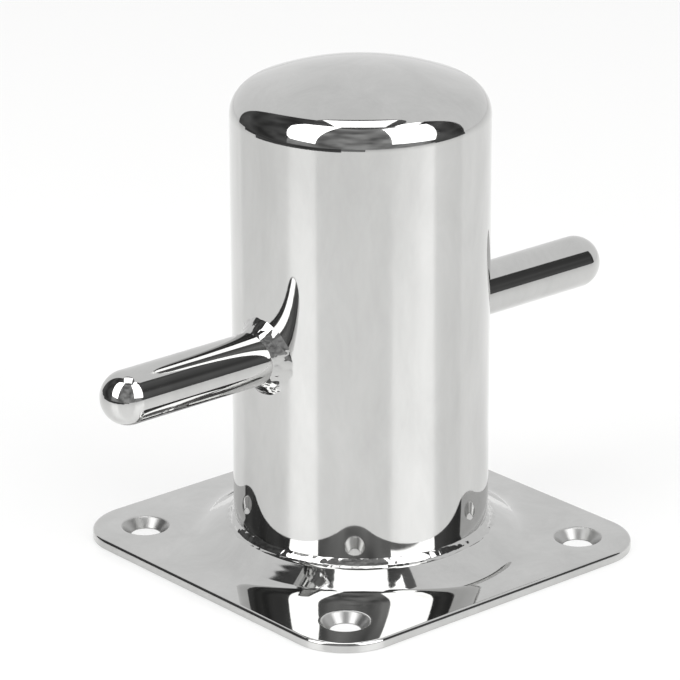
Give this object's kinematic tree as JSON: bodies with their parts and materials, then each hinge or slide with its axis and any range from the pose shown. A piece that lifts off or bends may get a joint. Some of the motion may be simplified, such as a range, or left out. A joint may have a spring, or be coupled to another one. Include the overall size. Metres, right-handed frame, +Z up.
{
  "type": "cross bollard",
  "caption": "Welded deck bollard: round post with a dished cap, one ball-ended cross bar through it, and a square flanged base with countersunk corner holes.",
  "frame": {"origin": "centre of the base plate's underside", "axes": "+Z up along the post, +X along the cross bar, X and Y along the plate's sides"},
  "size_m": [0.19, 0.125, 0.149],
  "materials": {
    "plate_steel": "mirror polished stainless steel",
    "post_steel": "mirror polished stainless steel",
    "bar_steel": "mirror polished stainless steel",
    "weld_bead": "polished weld bead, rippled"
  },
  "bodies": {
    "root": {"base_plate": "plate_steel", "post_tube": "post_steel", "dome_cap": "post_steel", "cap_weld": "post_steel", "cross_bar": "bar_steel", "foot_weld": "weld_bead", "bar_weld_left": "weld_bead", "bar_weld_right": "weld_bead"}
  },
  "joints": []
}
